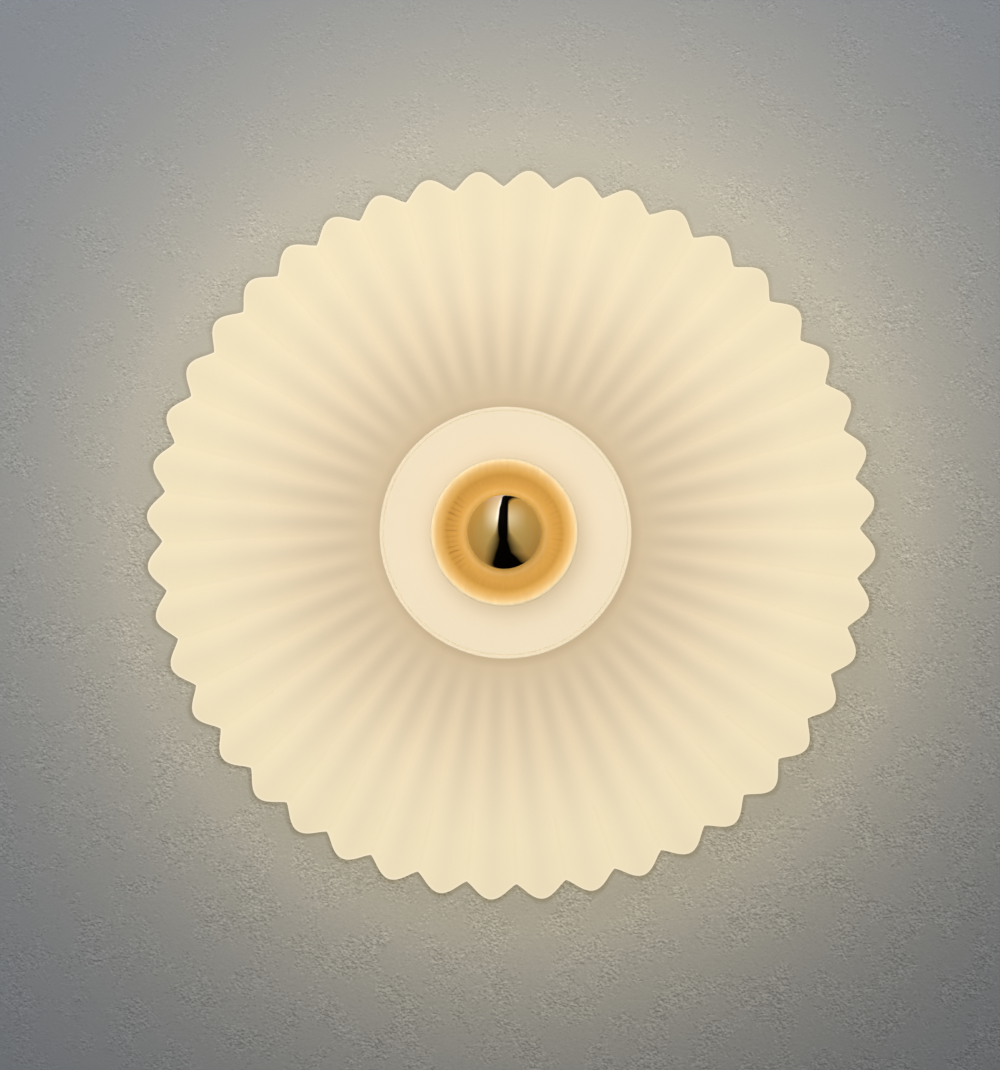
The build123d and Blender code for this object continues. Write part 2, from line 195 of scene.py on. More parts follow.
def turned(name, profile, body, node):
    """A turned piece: a closed profile of radius and distance, carried round the axis."""
    angles = [2 * pi * turn / turn_steps for turn in range(turn_steps)]
    rings = [[around(radius, distance, angle) for angle in angles] for radius, distance in profile]
    return make_piece(name, rings, body, node, turned_sharp_angle)


# The pleated shade
skirt_radius = rim_radius - rim_depth / 2
corner_radius = skirt_radius - (crown_distance - rim_distance) / tan(skirt_slope)
shoulder_radius = (corner_radius - crown_radius) / tan(skirt_slope / 2)
skirt_depth = rim_depth * sin(skirt_slope)


def rise_at(angle):
    """Height of a pleat at this angle, from 0 in a groove to 1 on a crest."""
    share = (angle - crest_angle) * pleat_count / (2 * pi) % 1
    across = 2 * min(share, 1 - share)
    return (1 - across**2) * (1 - pleat_straightness * across**2)


def skin_line(rise, below):
    """Points down one line of the shade's skin, from the crown's hole to the skirt's start."""
    line = [(radius, crown_distance - below) for radius in (crown_hole_radius, crown_ring_radius)]
    for row in range(shoulder_rows + 1):
        share = row / shoulder_rows
        slope = skirt_slope * share
        lift = skirt_depth * ease(share) * (rise - 0.5) - below
        line.append((
            crown_radius + shoulder_radius * sin(slope) + lift * sin(slope),
            crown_distance - shoulder_radius * (1 - cos(slope)) + lift * cos(slope),
        ))
    return line


def shade_section(angle):
    """The shade's closed section at one angle: outer skin, rounded rim, inner skin."""
    rise = rise_at(angle)
    outer = skin_line(rise, 0)
    inner = skin_line(rise, glass_thickness)
    reach = skirt_radius + (rise - 0.5) * rim_depth
    # The corner stands out by as much as its rounding takes away
    spread = edge_rounding * (1 / tan(skirt_slope / 2) - 1) - edge_trim
    outer_corner = (reach + spread, rim_distance)
    inner_corner = (reach - glass_thickness / sin(skirt_slope), rim_distance)
    run = sum((a - b) ** 2 for a, b in zip(outer_corner, outer[-1])) ** 0.5
    back = edge_rounding / tan(skirt_slope / 2)
    skin_end = along(outer[-1], outer_corner, 1 - back / run)
    flat_start = (outer_corner[0] - back, rim_distance)
    bevel = edge_rounding / 2
    section = list(outer)
    section += [along(outer[-1], skin_end, row / skirt_rows) for row in range(1, skirt_rows)]
    section.append(skin_end)
    section += rounded(skin_end, outer_corner, flat_start, edge_rows)
    section.append(flat_start)
    section.append((inner_corner[0] + bevel, rim_distance))
    section.append(along(inner_corner, inner[-1], bevel / run))
    section += [along(inner_corner, inner[-1], row / skirt_rows) for row in range(2, skirt_rows, 2)]
    section += reversed(inner)
    return section


def build_shade():
    """The whole shade, with its samples set closer together in the grooves."""
    sections = []
    for step in range(pleat_count * samples_per_pleat):
        pleat, sample = divmod(step, samples_per_pleat)
        share = sample / samples_per_pleat
        share += sample_easing * sin(4 * pi * share)
        angle = crest_angle + 2 * pi * (pleat + share + 0.5) / pleat_count
        sections.append([around(*point, angle) for point in shade_section(angle)])
    rings = list(zip(*sections))
    return make_piece(
        "pleated_shade", rings, "shade", "glass_shade", shade_sharp_angle
    )


shade = build_shade()

# The disc, the cup and the ball
disc_edge = disc_radius - disc_rounding
disc_profile = [(bore_radius, disc_back), (disc_ring_radius, disc_back)]
disc_profile += arc((disc_edge, disc_back + disc_rounding), disc_rounding, -90, 0, disc_back_steps)
disc_profile += arc((disc_edge, disc_front - disc_rounding), disc_rounding, 0, 90, disc_front_steps)
disc_profile += [
    (line_radius + line_width / 2, disc_front),
    (line_radius + line_width / 6, disc_front - line_depth),
    (line_radius - line_width / 6, disc_front - line_depth),
    (line_radius - line_width / 2, disc_front),
    (disc_ring_radius, disc_front),
    (bore_radius, disc_front),
]
disc = turned("satin_disc", disc_profile, "shade", "front_disc")

lip_centre = (cup_radius - cup_lip_radius, cup_front - cup_lip_radius)
cup_profile = [
    (bore_radius, cup_back),
    (cup_base_radius - cup_base_inset, cup_back),
    (cup_base_radius, cup_back + cup_base_rise),
]
cup_profile += arc(lip_centre, cup_lip_radius, cup_lip_start_degrees, 90, lip_steps)
for step in range(1, cove_steps + 1):
    share = step / cove_steps
    cup_profile.append((
        lip_centre[0] + (cup_floor_radius - lip_centre[0]) * share,
        cup_front + (cup_floor - cup_front) * ease(share),
    ))
cup_profile += [
    (socket_radius + socket_edge_width, cup_floor),
    (socket_radius, cup_floor - socket_edge_depth),
    (socket_radius, cup_seat),
    (bore_radius, cup_seat),
]
cup = turned("turned_cup", cup_profile, "shade", "wood_cup")

ball_profile = arc((0, ball_distance), ball_radius, 90, ball_end_degrees, ball_steps)
ball_profile[0] = (pole_radius, ball_distance + ball_radius)
ball_profile[-1] = (ball_profile[-1][0], ball_back)
ball_profile += [
    (bore_radius + bore_chamfer, ball_back),
    (bore_radius, ball_back + bore_chamfer),
    (bore_radius, ball_bore_end),
    (pole_radius, ball_bore_end),
]
ball = turned("polished_ball", ball_profile, "ball", "finial")


# Node helpers

class Graph:
    """Adds and joins the nodes of one material or world."""

    def __init__(self, tree, output):
        self.tree = tree
        self.tree.nodes.clear()
        self.output = self.node(output)

    def node(self, kind, **settings):
        """A new node with these settings."""
        made = self.tree.nodes.new(kind)
        for name, value in settings.items():
            setattr(made, name, value)
        return made

    def feed(self, socket, value):
        """Joins a socket to another, or sets its own value."""
        if isinstance(value, bpy.types.NodeSocket):
            self.tree.links.new(value, socket)
        elif value is not None:
            socket.default_value = value

    def tint(self, socket, colour):
        """Joins a colour's socket to another, or sets its own colour."""
        self.feed(socket, (*colour, 1) if isinstance(colour, tuple) else colour)

    def show(self, surface):
        """Makes this shader the material's surface, or the world's."""
        self.feed(self.output.inputs["Surface"], surface)

    def either(self, factor, first, second):
        """One shader, or another where the factor is 1."""
        made = self.node("ShaderNodeMixShader")
        for socket, value in zip(made.inputs, (factor, first, second)):
            self.feed(socket, value)
        return made.outputs[0]

    def math(self, operation, first, second=None, third=None, clamp=False):
        """One sum on numbers or sockets."""
        made = self.node("ShaderNodeMath", operation=operation, use_clamp=clamp)
        for socket, value in zip(made.inputs, (first, second, third)):
            self.feed(socket, value)
        return made.outputs[0]

    def plus(self, total, *others):
        """Numbers or sockets added up."""
        for other in others:
            total = self.math("ADD", total, other)
        return total

    def minus(self, first, second):
        """One number or socket less another."""
        return self.math("SUBTRACT", first, second)

    def times(self, product, *others):
        """Numbers or sockets multiplied together."""
        for other in others:
            product = self.math("MULTIPLY", product, other)
        return product

    def over(self, first, second, clamp=False):
        """One number or socket divided by another."""
        return self.math("DIVIDE", first, second, clamp=clamp)

    def place(self):
        """The object's own coordinates."""
        return self.node("ShaderNodeTexCoord").outputs["Object"]

    def parts(self, vector):
        """The X, Y and Z of a vector."""
        made = self.node("ShaderNodeSeparateXYZ")
        self.feed(made.inputs[0], vector)
        return made.outputs

    def radius(self, x, z):
        """Distance from the lamp's axis."""
        return self.math("SQRT", self.plus(self.times(x, x), self.times(z, z)))

    def noise(self, vector, scale, detail=3.0, stretch=None):
        """Fine noise at a scale in repeats a metre, stretched where asked."""
        if stretch:
            mapping = self.node("ShaderNodeMapping")
            self.feed(mapping.inputs["Vector"], vector)
            mapping.inputs["Scale"].default_value = stretch
            vector = mapping.outputs[0]
        made = self.node("ShaderNodeTexNoise")
        self.feed(made.inputs["Vector"], vector)
        made.inputs["Scale"].default_value = scale
        made.inputs["Detail"].default_value = detail
        made.inputs["Roughness"].default_value = 0.55
        return made.outputs["Fac"]

    def span(self, value, low, high, to_low=0.0, to_high=1.0, smooth=False):
        """Maps one range of values on to another."""
        curve = "SMOOTHSTEP" if smooth else "LINEAR"
        made = self.node("ShaderNodeMapRange", interpolation_type=curve)
        for socket, number in zip(made.inputs, (value, low, high, to_low, to_high)):
            self.feed(socket, number)
        return made.outputs[0]

    def spread(self, noise, to_low=0.0, to_high=1.0):
        """Maps the range that a noise keeps to on to another."""
        return self.span(noise, 0.3, 0.7, to_low, to_high)

    def ramp(self, factor, stops):
        """A ramp of colours, each given with its place."""
        made = self.node("ShaderNodeValToRGB")
        self.feed(made.inputs[0], factor)
        elements = made.color_ramp.elements
        while len(elements) < len(stops):
            elements.new(1.0)
        for element, (place, colour) in zip(elements, stops):
            element.position = place
            element.color = (*colour, 1)
        return made.outputs[0]

    def mix(self, factor, first, second, blend="MIX"):
        """Two colours mixed by a factor."""
        made = self.node("ShaderNodeMix", data_type="RGBA", blend_type=blend)
        self.feed(made.inputs[0], factor)
        self.tint(made.inputs[6], first)
        self.tint(made.inputs[7], second)
        return made.outputs[2]

    def scaled(self, colour, factor):
        """A colour made brighter or darker by a factor."""
        made = self.node("ShaderNodeVectorMath", operation="SCALE")
        self.feed(made.inputs[0], colour)
        self.feed(made.inputs["Scale"], factor)
        return made.outputs[0]

    def bump(self, height, depth, strength):
        """A bump of this real depth."""
        made = self.node("ShaderNodeBump")
        made.inputs["Strength"].default_value = strength
        made.inputs["Distance"].default_value = depth
        self.feed(made.inputs["Height"], height)
        return made.outputs[0]


def linear(levels):
    """A colour given in screen levels, as the light it stands for."""
    shares = [level / 255 for level in levels]
    return tuple(s / 12.92 if s <= 0.04045 else ((s + 0.055) / 1.055) ** 2.4 for s in shares)


def material(name):
    """A new material with its graph and its shader."""
    made = bpy.data.materials.new(name)
    made.use_nodes = True
    graph = Graph(made.node_tree, "ShaderNodeOutputMaterial")
    shader = graph.node("ShaderNodeBsdfPrincipled")
    graph.show(shader.outputs[0])
    return made, graph, shader


# Lit opal glass

# Light that the glass sends out, by distance from the axis; its first stop, next to the disc, is
# darker, as painted shade from the disc
glow_inner = 50.5 * mm
glow_outer = 124 * mm
glass_glow = [
    (0.0, (0.383, 0.287, 0.167)),
    (0.05, (0.473, 0.356, 0.209)),
    (0.34, (0.550, 0.434, 0.278)),
    (0.67, (0.627, 0.520, 0.345)),
    (1.0, (0.670, 0.574, 0.376)),
]
# How much brighter a groove is than a crest, and how far the pattern turns
groove_glow = [
    (0.0, 0.0), (0.06, 0.012), (0.12, 0.036), (0.22, 0.074),
    (0.33, 0.070), (0.55, 0.028), (0.72, 0.024), (1.0, 0.014),
]
glow_turn_inner = radians(0.35)
glow_turn_outer = radians(-0.25)
# Painted light from above: how much brighter it gets with each metre of height; and by how much it
# is uneven
glow_rise = 0.09
glow_cloud = 0.012
# The rim's painted highlight, a bright line, stronger at the left: its colour, where it starts and
# is full, from the rim's plane, and its strength at the right and left
rim_edge_highlight = (0.76, 0.69, 0.56)
edge_inner = 2.15 * mm
edge_outer = 1.8 * mm
edge_right = 0.25
edge_left = 0.6
glass_front_strength = 1.0
glass_back_strength = 0.85
# The front disc's own light: two tones of its face; then a painted highlight on its rim, from where
# it starts to where it is full; and painted light that lifts the cup's shade on the ring by the
# cup, from where it is full to where it ends
disc_glow = ((0.27, 0.22, 0.11), (0.285, 0.235, 0.125))
disc_rim_highlight = (0.31, 0.25, 0.13)
disc_rim_range = (line_radius + 0.7 * mm, line_radius + 1.1 * mm)
disc_cup_fill_light = (0.315, 0.254, 0.138)
disc_cup_range = (cup_radius - 1 * mm, cup_radius + 8 * mm)
disc_line_tone = (0.55, 0.47, 0.35)


def opal_glass(name, strength):
    """Opal glass lit from behind, brighter in its grooves and towards its rim, with painted shade
    by the disc, painted light higher up and a painted highlight on the rim.
    """
    made, graph, shader = material(name)
    place = graph.place()
    x, y, z = graph.parts(place)
    share = graph.span(graph.radius(x, z), glow_inner, glow_outer)
    turns = [turn - crest_angle for turn in (glow_turn_inner, glow_turn_outer)]
    angle = graph.plus(graph.math("ARCTAN2", z, x), graph.span(share, 0.0, 1.0, *turns))
    groove = graph.times(graph.math("COSINE", graph.times(angle, pleat_count)), -1.0)
    depth = graph.ramp(share, [(stop, (grey, grey, grey)) for stop, grey in groove_glow])
    cloud = graph.noise(place, 22, detail=2.0)
    level = graph.math("MULTIPLY_ADD", groove, depth, 1.0)
    level = graph.plus(level, graph.spread(cloud, -glow_cloud, glow_cloud))
    # Painted light: brighter higher up
    level = graph.math("MULTIPLY_ADD", z, glow_rise, level)
    # Painted highlight: a bright line along the rim's rounded edge, stronger at the left
    edge = graph.times(
        graph.span(graph.times(y, -1.0), rim_distance + edge_inner, rim_distance + edge_outer),
        graph.span(x, rim_radius, -rim_radius, edge_right, edge_left),
    )
    glow = graph.mix(edge, graph.ramp(share, glass_glow), rim_edge_highlight)
    graph.feed(shader.inputs["Emission Color"], graph.scaled(glow, level))
    shader.inputs["Emission Strength"].default_value = strength
    fine = graph.noise(place, 300, detail=2.0)
    base = graph.mix(cloud, (0.37, 0.335, 0.27), (0.40, 0.36, 0.29))
    graph.feed(shader.inputs["Base Color"], base)
    graph.feed(shader.inputs["Roughness"], graph.spread(fine, 0.46, 0.56))
    graph.feed(shader.inputs["Normal"], graph.bump(fine, 0.02 * mm, 0.3))
    shader.inputs["Specular IOR Level"].default_value = 0.3
    return made


def satin_glass():
    """The front disc: the same glass, evenly lit and with a satin face, a painted highlight on its
    rim and painted light by the cup.
    """
    made, graph, shader = material("disc_glass")
    place = graph.place()
    x, _, z = graph.parts(place)
    radius = graph.radius(x, z)
    cloud = graph.noise(place, 30, detail=2.0)
    # Painted highlight on the rim, and painted light by the cup against the shade that the cup
    # casts
    on_rim = graph.span(radius, *disc_rim_range)
    by_cup = graph.span(radius, *disc_cup_range, 1.0, 0.0, smooth=True)
    glow = graph.mix(on_rim, graph.mix(cloud, *disc_glow), disc_rim_highlight)
    graph.feed(shader.inputs["Emission Color"], graph.mix(by_cup, glow, disc_cup_fill_light))
    shader.inputs["Emission Strength"].default_value = 1.0
    fine = graph.noise(place, 900, detail=2.0)
    from_line = graph.math("ABSOLUTE", graph.minus(radius, line_radius))
    in_line = graph.span(from_line, line_width * 0.3, line_width * 0.7, 1.0, 0.0)
    base = graph.mix(cloud, (0.54, 0.47, 0.38), (0.57, 0.50, 0.41))
    graph.feed(shader.inputs["Base Color"], graph.mix(in_line, base, disc_line_tone))
    graph.feed(shader.inputs["Roughness"], graph.spread(fine, 0.48, 0.58))
    graph.feed(shader.inputs["Normal"], graph.bump(fine, 0.02 * mm, 0.25))
    return made


# Wood

# Tone by distance from the axis, between these radii, in screen levels: the wood's own tone with
# painted light, lighter next to the ball where its shade falls, and a painted highlight on the
# lip's outer edge
wood_inner = 13 * mm
wood_outer = 28.5 * mm
wood_tones_and_light = [
    (0.0, (250, 205, 112)),
    (0.14, (239, 187, 91)),
    (0.30, (229, 173, 76)),
    (0.42, (228, 170, 80)),
    (0.62, (219, 161, 69)),
    (0.74, (234, 180, 91)),
    (0.86, (239, 192, 114)),
    (0.94, (246, 208, 140)),
    (1.0, (252, 231, 186)),
]
grain_tone = (206, 148, 66)
grain_strength = 0.20
# The rays in the cove: how many go round, and the radii over which they start and end
ray_tone = (172, 110, 34)
ray_strength = 0.6
ray_count = 62
ray_start = (17.8 * mm, 20.0 * mm)
ray_stop = (22.6 * mm, 24.2 * mm)


def turned_wood():
    """Light wood, turned on its end grain, with short rays in the cove, and painted light and a
    painted highlight by distance from the axis.
    """
    made, graph, shader = material("turned_wood")
    place = graph.place()
    x, _, z = graph.parts(place)
    radius = graph.radius(x, z)
    # The wood's tone by distance from the axis, with painted light next to the ball and a painted
    # highlight on the lip
    tones = [(stop, linear(levels)) for stop, levels in wood_tones_and_light]
    tone = graph.ramp(graph.span(radius, wood_inner, wood_outer), tones)
    # Waves round the axis make the rays, and a noise that follows the turning bends them
    angle = graph.math("ARCTAN2", z, x)
    ring_place = graph.node("ShaderNodeCombineXYZ")
    graph.feed(ring_place.inputs[0], graph.times(angle, 9.0))
    graph.feed(ring_place.inputs[1], graph.times(radius, 120.0))
    drift = graph.noise(ring_place.outputs[0], 1.0, detail=2.0)
    bent = graph.math("MULTIPLY_ADD", drift, 4.0, graph.times(angle, ray_count))
    waves = graph.span(graph.math("COSINE", bent), 0.1, 1.0)
    rays = graph.times(waves, graph.span(drift, 0.35, 0.60, 0.3, 1.0))
    # They show in the cove, beside the ball, and more at its left
    sideways = graph.math("COSINE", angle)
    to_side = graph.math("ABSOLUTE", sideways)
    shown = graph.times(
        rays,
        graph.span(radius, *ray_start, smooth=True),
        graph.span(radius, *ray_stop, 1.0, 0.0, smooth=True),
        graph.span(sideways, 0.8, -0.97, 0.25, 1.0),
        graph.span(to_side, 0.70, 0.96, 0.12, 1.0, smooth=True),
        ray_strength,
    )
    grain = graph.noise(place, 60, detail=6.0, stretch=(9.0, 9.0, 1.0))
    tone = graph.mix(graph.spread(grain, 0.0, grain_strength), tone, linear(grain_tone))
    graph.feed(shader.inputs["Base Color"], graph.mix(shown, tone, linear(ray_tone)))
    graph.feed(shader.inputs["Roughness"], graph.spread(grain, 0.36, 0.5))
    height = graph.plus(graph.times(rays, 0.6), grain)
    graph.feed(shader.inputs["Normal"], graph.bump(height, 0.05 * mm, 0.4))
    shader.inputs["Coat Weight"].default_value = 0.2
    shader.inputs["Coat Roughness"].default_value = 0.25
    return made


# Metals, paints, plastics

# Light tone, dark tone, least and most roughness, scale of the wear, stretch where brushed
metals = {
    "polished_brass": ((0.90, 0.69, 0.31), (0.87, 0.65, 0.28), 0.0, 0.003, 70),
    "brass": ((0.78, 0.60, 0.30), (0.66, 0.48, 0.22), 0.25, 0.4, 300, (1, 8, 1)),
    "zinc_steel": ((0.66, 0.67, 0.69), (0.52, 0.53, 0.56), 0.3, 0.48, 220, (1, 5, 1)),
}
# Light tone, dark tone, least and most roughness, scale and depth of the texture
coats = {
    "white_paint": ((0.84, 0.83, 0.80), (0.80, 0.79, 0.76), 0.45, 0.6, 900, 0.03 * mm),
    "white_board": ((0.88, 0.88, 0.86), (0.83, 0.83, 0.81), 0.35, 0.5, 700, 0.01 * mm),
    "led_phosphor": ((0.95, 0.80, 0.36), (0.88, 0.70, 0.28), 0.2, 0.3, 900, 0.01 * mm),
    "white_plastic": ((0.82, 0.82, 0.80), (0.76, 0.76, 0.74), 0.4, 0.55, 800, 0.02 * mm),
    "grey_plastic": ((0.50, 0.50, 0.48), (0.42, 0.42, 0.41), 0.4, 0.55, 800, 0.02 * mm),
    "black_rubber": ((0.035, 0.035, 0.037), (0.02, 0.02, 0.022), 0.6, 0.8, 700, 0.03 * mm),
    "clear_silicone": ((0.72, 0.71, 0.67), (0.64, 0.63, 0.60), 0.3, 0.45, 500, 0.02 * mm),
    "lead_sleeve": ((0.70, 0.67, 0.60), (0.60, 0.57, 0.50), 0.45, 0.6, 600, 0.02 * mm),
    "felt": ((0.62, 0.54, 0.42), (0.44, 0.37, 0.28), 0.85, 0.98, 1500, 0.15 * mm),
}
# The lit diodes: two tones of their light, and its strength
diode_glow = ((1.0, 0.80, 0.50), (1.0, 0.86, 0.60))
diode_strength = 1.6


def metal(name, light, dark, smooth, rough, scale, brushed=None):
    """Bare metal whose tone and polish change finely over it."""
    made, graph, shader = material(name)
    wear = graph.noise(graph.place(), scale, detail=4.0, stretch=brushed)
    graph.feed(shader.inputs["Base Color"], graph.mix(graph.spread(wear), dark, light))
    graph.feed(shader.inputs["Roughness"], graph.spread(wear, smooth, rough))
    graph.feed(shader.inputs["Normal"], graph.bump(wear, 0.01 * mm, 0.2))
    shader.inputs["Metallic"].default_value = 1.0
    return made


def coated(name, light, dark, smooth, rough, scale, depth):
    """Paint, plastic, rubber or felt with a fine texture, and the lit diodes."""
    made, graph, shader = material(name)
    place = graph.place()
    broad = graph.noise(place, scale / 12, detail=2.0)
    fine = graph.noise(place, scale)
    graph.feed(shader.inputs["Base Color"], graph.mix(graph.spread(broad), dark, light))
    graph.feed(shader.inputs["Roughness"], graph.spread(fine, smooth, rough))
    graph.feed(shader.inputs["Normal"], graph.bump(fine, depth, 0.5))
    if name == "led_phosphor":
        glow = graph.mix(graph.noise(place, 400), *diode_glow)
        graph.feed(shader.inputs["Emission Color"], glow)
        shader.inputs["Emission Strength"].default_value = diode_strength
    return made


finishes = {
    "opal_glass": opal_glass("opal_glass", glass_front_strength),
    "disc_glass": satin_glass(),
    "turned_wood": turned_wood(),
}
finishes.update({name: metal(name, *look) for name, look in metals.items()})
finishes.update({name: coated(name, *look) for name, look in coats.items()})
for part in frame["record"]["subparts"]:
    node = frame["nodes"][part["node"]]
    node.data.materials.clear()
    node.data.materials.append(finishes[part["material_slot"]])
for piece, slot in (
    (shade, "opal_glass"),
    (disc, "disc_glass"),
    (cup, "turned_wood"),
    (ball, "polished_brass"),
):
    piece.data.materials.append(finishes[slot])

# The shade's inner side glows a little less than its front. Its faces look at the wall,
# and not outwards as the rim's faces do.
least_to_wall = 0.05
most_outwards = 0.4
shade.data.materials.append(opal_glass("opal_glass_inside", glass_back_strength))
for face in shade.data.polygons:
    centre = face.center
    outwards = centre.x * face.normal.x + centre.z * face.normal.z
    from_axis = (centre.x**2 + centre.z**2) ** 0.5
    if face.normal.y > least_to_wall and outwards < most_outwards * from_axis:
        face.material_index = 1

# Wall and floor
wall_reach = 1.6
wall_behind = 0.4 * mm
floor_height = -0.8
floor_reach = 3 * wall_reach
# Room light on the wall: its colour, how it rises with height and leans sideways, and
# the least and most of it
wall_colour = (0.306, 0.340, 0.396)
wall_rise = 1.32
wall_lean = -0.34
wall_levels = (0.3, 1.7)
# The lamp's own halo on the wall, a pool of light painted as the wall's glow
halo_colour = (0.72, 0.605, 0.36)
halo_squeeze = 0.887
halo_height = 0.057
halo_radius = 0.164
halo_fade = 0.0511
halo_rise = -2.57
halo_lean = 0.26
halo_least = 0.2
# It dims to this share at the rim, and is full again this far out
halo_dim = 0.82
halo_dim_reach = 18 * mm
# Roller ridges: their scale, how far apart the two samples lie that shade them, their
# gain, and how much they change the room's light and the halo
ridge_scale = 1000
ridge_stretch = (0.95, 1.0, 1.0)
ridge_shift = (0.09 * mm, 0.0, 0.3 * mm)
ridge_gain = 16.5
ridges_in_room = 0.40
ridges_in_halo = 0.32
# The shade's shadow: its soft edge, its depth at the bottom and the top of the rim, and
# how much more of the halo it lets show
shadow_edge = (0.3 * mm, 3.2 * mm)
shadow_depths = (0.78, 0.35)
shadow_halo = 0.10


def stage_sheet(name, corners, finish):
    """A flat sheet of the studio."""
    mesh = bpy.data.meshes.new(name)
    mesh.from_pydata(corners, [], [(0, 1, 2, 3)])
    sheet = bpy.data.objects.new(name, mesh)
    bpy.context.scene.collection.objects.link(sheet)
    mesh.materials.append(finish)
    sheet.visible_diffuse = False
    return sheet


def rim_shadow(graph, x, z):
    """Where the shade's shadow lies on the wall: its outline as seen from the photo's place."""
    widening = (camera_to_rim + rim_distance) / (camera_to_rim - edge_rounding)
    seen_x = graph.over(graph.plus(x, camera_right * (widening - 1)), widening)
    seen_z = graph.over(graph.plus(z, camera_up * (widening - 1)), widening)
    turn = graph.minus(graph.math("ARCTAN2", seen_z, seen_x), crest_angle)
    turn = graph.times(turn, pleat_count / (2 * pi))
    # The same rise as in rise_at
    across = graph.times(graph.math("PINGPONG", turn, 0.5), 2.0)
    square = graph.times(across, across)
    straight = graph.math("MULTIPLY_ADD", square, -pleat_straightness, 1.0)
    rise = graph.times(graph.minus(1.0, square), straight)
    outline = graph.math("MULTIPLY_ADD", rise, rim_depth, rim_radius - rim_depth)
    beyond = graph.minus(graph.radius(seen_x, seen_z), outline)
    return graph.span(beyond, *shadow_edge, 1.0, 0.0, smooth=True)


def roller_ridges(graph, place, x, z):
    """The ridges' height, and their painted lit and dark sides about 0.5."""
    # Two samples of one noise, side by side, give each ridge a lit and a dark side
    heights = []
    for shift in ((0.0, 0.0, 0.0), ridge_shift):
        moved = graph.node("ShaderNodeVectorMath", operation="ADD")
        graph.feed(moved.inputs[0], place)
        moved.inputs[1].default_value = shift
        heights.append(graph.noise(moved.outputs[0], ridge_scale, 1.0, ridge_stretch))
    relief = graph.minus(graph.math("MULTIPLY_ADD", heights[1], -0.6, heights[0]), 0.2)
    # They come in patches, fewer at the top and at the lower left
    downwards = graph.minus(graph.times(x, 0.15), graph.times(z, 0.70))
    patches = graph.times(
        graph.span(graph.noise(place, 60), 0.44, 0.64, 0.2, 1.8),
        graph.span(downwards, -0.16, 0.12, 0.25, 1.3),
        graph.span(graph.plus(x, z), -0.40, -0.25, 0.5, 1.0),
    )
    relief = graph.times(relief, graph.math("ABSOLUTE", relief), ridge_gain, patches)
    return heights[0], graph.plus(relief, 0.5)


def ridged(graph, ridge_light, contrast):
    """The share of light that the ridges' sides give back, about 1."""
    return graph.span(ridge_light, 0.1, 0.9, 1 - contrast, 1 + contrast)


def wall_paint():
    """Grey roller paint with painted room light, a painted halo of the lamp's glow and the shade's
    painted shadow, and that only its front side shows.
    """
    made, graph, shader = material("wall_paint")
    place = graph.place()
    x, _, z = graph.parts(place)
    # The ridges' height, and their painted lit and dark sides
    height, ridge_light = roller_ridges(graph, place, x, z)
    shadow = rim_shadow(graph, x, z)
    # Painted room light: brighter higher up and towards the left
    level = graph.plus(graph.times(z, wall_rise), graph.times(x, wall_lean), 1.0)
    level = graph.times(level, ridged(graph, ridge_light, ridges_in_room))
    level = graph.span(level, *wall_levels, *wall_levels)
    # Room light hardly reaches the wall behind the shade, and the lamp's own light does
    depth = graph.times(shadow, graph.span(z, -rim_radius, rim_radius, *shadow_depths))
    level = graph.minus(level, graph.times(level, depth))
    graph.feed(shader.inputs["Base Color"], graph.scaled(wall_colour, level))
    shader.inputs["Roughness"].default_value = 0.85
    graph.feed(shader.inputs["Normal"], graph.bump(height, 0.15 * mm, 0.3))
    # Painted pool of light: the lamp's halo, given as the wall's own glow
    reach = graph.radius(graph.over(x, halo_squeeze), graph.minus(z, halo_height))
    fall = graph.math("EXPONENT", graph.over(graph.minus(reach, halo_radius), halo_fade))
    slope = graph.plus(graph.times(z, halo_rise), graph.times(x, halo_lean), 1.0)
    radius = graph.radius(x, z)
    strength = graph.times(
        graph.over(1.0, graph.plus(fall, 1.0)),
        graph.span(radius, rim_radius, rim_radius + halo_dim_reach, halo_dim, 1.0, smooth=True),
        graph.math("MAXIMUM", slope, halo_least),
        ridged(graph, ridge_light, ridges_in_halo),
        graph.math("MULTIPLY_ADD", shadow, shadow_halo, 1.0),
    )
    graph.feed(shader.inputs["Emission Color"], graph.scaled(halo_colour, strength))
    shader.inputs["Emission Strength"].default_value = 1.0
    behind = graph.node("ShaderNodeNewGeometry").outputs["Backfacing"]
    clear = graph.node("ShaderNodeBsdfTransparent").outputs[0]
    graph.show(graph.either(behind, shader.outputs[0], clear))
    return made


def floor_paint():
    """Pale smooth floor."""
    made, graph, shader = material("floor_paint")
    patches = graph.noise(graph.place(), 6)
    base = graph.mix(patches, (0.66, 0.66, 0.65), (0.70, 0.70, 0.69))
    glow = graph.mix(patches, (0.27, 0.27, 0.265), (0.28, 0.28, 0.275))
    graph.feed(shader.inputs["Base Color"], base)
    graph.feed(shader.inputs["Emission Color"], glow)
    shader.inputs["Emission Strength"].default_value = 1.0
    shader.inputs["Roughness"].default_value = 0.7
    return made


wall = stage_sheet("wall", [
    (-wall_reach, wall_behind, floor_height),
    (wall_reach, wall_behind, floor_height),
    (wall_reach, wall_behind, wall_reach),
    (-wall_reach, wall_behind, wall_reach),
], wall_paint())
wall.visible_shadow = False
floor = stage_sheet("floor", [
    (-floor_reach, -floor_reach, floor_height),
    (floor_reach, -floor_reach, floor_height),
    (floor_reach, floor_reach, floor_height),
    (-floor_reach, floor_reach, floor_height),
], floor_paint())
# The ball mirrors the studio alone, with its dark gap unbroken
for unseen in (wall, floor, shade, disc, cup, *frame["nodes"].values()):
    unseen.visible_glossy = False

# Studio light
world = bpy.data.worlds.new("studio")
bpy.context.scene.world = world
world.use_nodes = True
sky = Graph(world.node_tree, "ShaderNodeOutputWorld")
sideways, forwards, upwards = sky.parts(sky.node("ShaderNodeTexCoord").outputs["Generated"])

